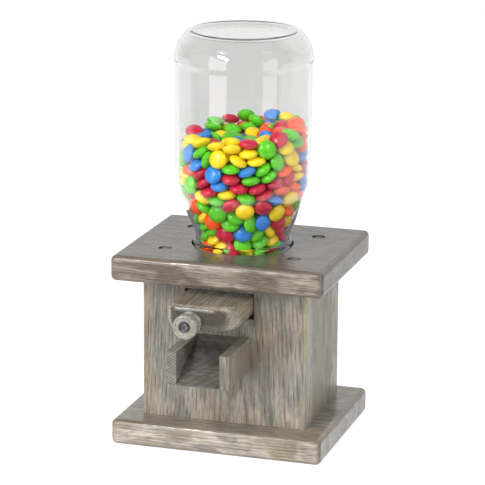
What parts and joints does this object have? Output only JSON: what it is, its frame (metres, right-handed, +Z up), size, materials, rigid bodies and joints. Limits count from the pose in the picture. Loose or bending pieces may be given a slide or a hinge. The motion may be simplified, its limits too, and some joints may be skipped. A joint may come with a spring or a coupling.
{
  "type": "candy dispenser",
  "caption": "Wooden table-top candy dispenser: an inverted glass jar feeds small round candies into a pull-out slide with a knob, which drops a portion down a chute.",
  "frame": {"origin": "centre of the base board's underside", "axes": "+Z up along the jar, +X to the right and -Y to the front, where the slide and the chute are"},
  "size_m": [0.159, 0.1711, 0.3012],
  "materials": {
    "base_board": "grey-brown stain under a satin clear coat",
    "front_board": "grey-brown stain under a satin clear coat",
    "back_board": "grey-brown stain under a satin clear coat",
    "left_side_board": "grey-brown stain under a satin clear coat",
    "right_side_board": "grey-brown stain under a satin clear coat",
    "top_board": "grey-brown stain under a satin clear coat",
    "feed_plate": "grey-brown stain under a satin clear coat",
    "slide_bed": "grey-brown stain under a satin clear coat",
    "left_guide_rail": "grey-brown stain under a satin clear coat",
    "right_guide_rail": "grey-brown stain under a satin clear coat",
    "slide_bar": "grey-brown stain under a satin clear coat",
    "stop_pin": "grey-brown stain under a satin clear coat",
    "knob": "grey-brown stain under a satin clear coat",
    "chute_left_wall": "grey-brown stain under a satin clear coat",
    "chute_right_wall": "grey-brown stain under a satin clear coat",
    "chute_ramp": "grey-brown stain under a satin clear coat",
    "top_plugs": "grey-brown stain under a satin clear coat",
    "knob_screw": "zinc plated",
    "chute_screws": "zinc plated",
    "top_screws": "zinc plated",
    "base_screws": "zinc plated",
    "lid_screws": "zinc plated",
    "jar_band": "zinc plated steel",
    "lid_disc": "tin plated steel",
    "jar": "clear, smooth",
    "candy_fill": "glossy sugar shells in five colours"
  },
  "bodies": {
    "housing": {"base_board": "base_board", "front_board": "front_board", "back_board": "back_board", "left_side_board": "left_side_board", "right_side_board": "right_side_board", "top_board": "top_board", "feed_plate": "feed_plate", "slide_bed": "slide_bed", "left_guide_rail": "left_guide_rail", "right_guide_rail": "right_guide_rail", "chute_left_wall": "chute_left_wall", "chute_right_wall": "chute_right_wall", "chute_ramp": "chute_ramp", "top_plugs": "top_plugs", "chute_screws": "chute_screws", "top_screws": "top_screws", "base_screws": "base_screws", "lid_screws": "lid_screws", "jar_band": "jar_band", "lid_disc": "lid_disc"},
    "slide": {"slide_bar": "slide_bar", "stop_pin": "stop_pin", "knob": "knob", "knob_screw": "knob_screw"},
    "jar_contents": {"candy_fill": "candy_fill"},
    "jar": {"jar": "jar"}
  },
  "joints": [
    {"name": "slide_pull", "type": "slide", "parent": "housing", "child": "slide", "axis": [0, -1, 0], "range_m": [0, 0.048]},
    {"name": "jar_rise", "type": "slide", "parent": "housing", "child": "jar_contents", "axis": [0, 0, 1], "range_m": [0, 0.00508]},
    {"name": "jar_turn", "type": "hinge", "parent": "jar_contents", "child": "jar", "pos_m": [0, 0, 0.2], "axis": [0, 0, 1], "range_deg": [0, 360]}
  ],
  "couplings": [
    {"joint": "jar_rise", "follows": "jar_turn", "m_per_rad": 0.00080851}
  ]
}
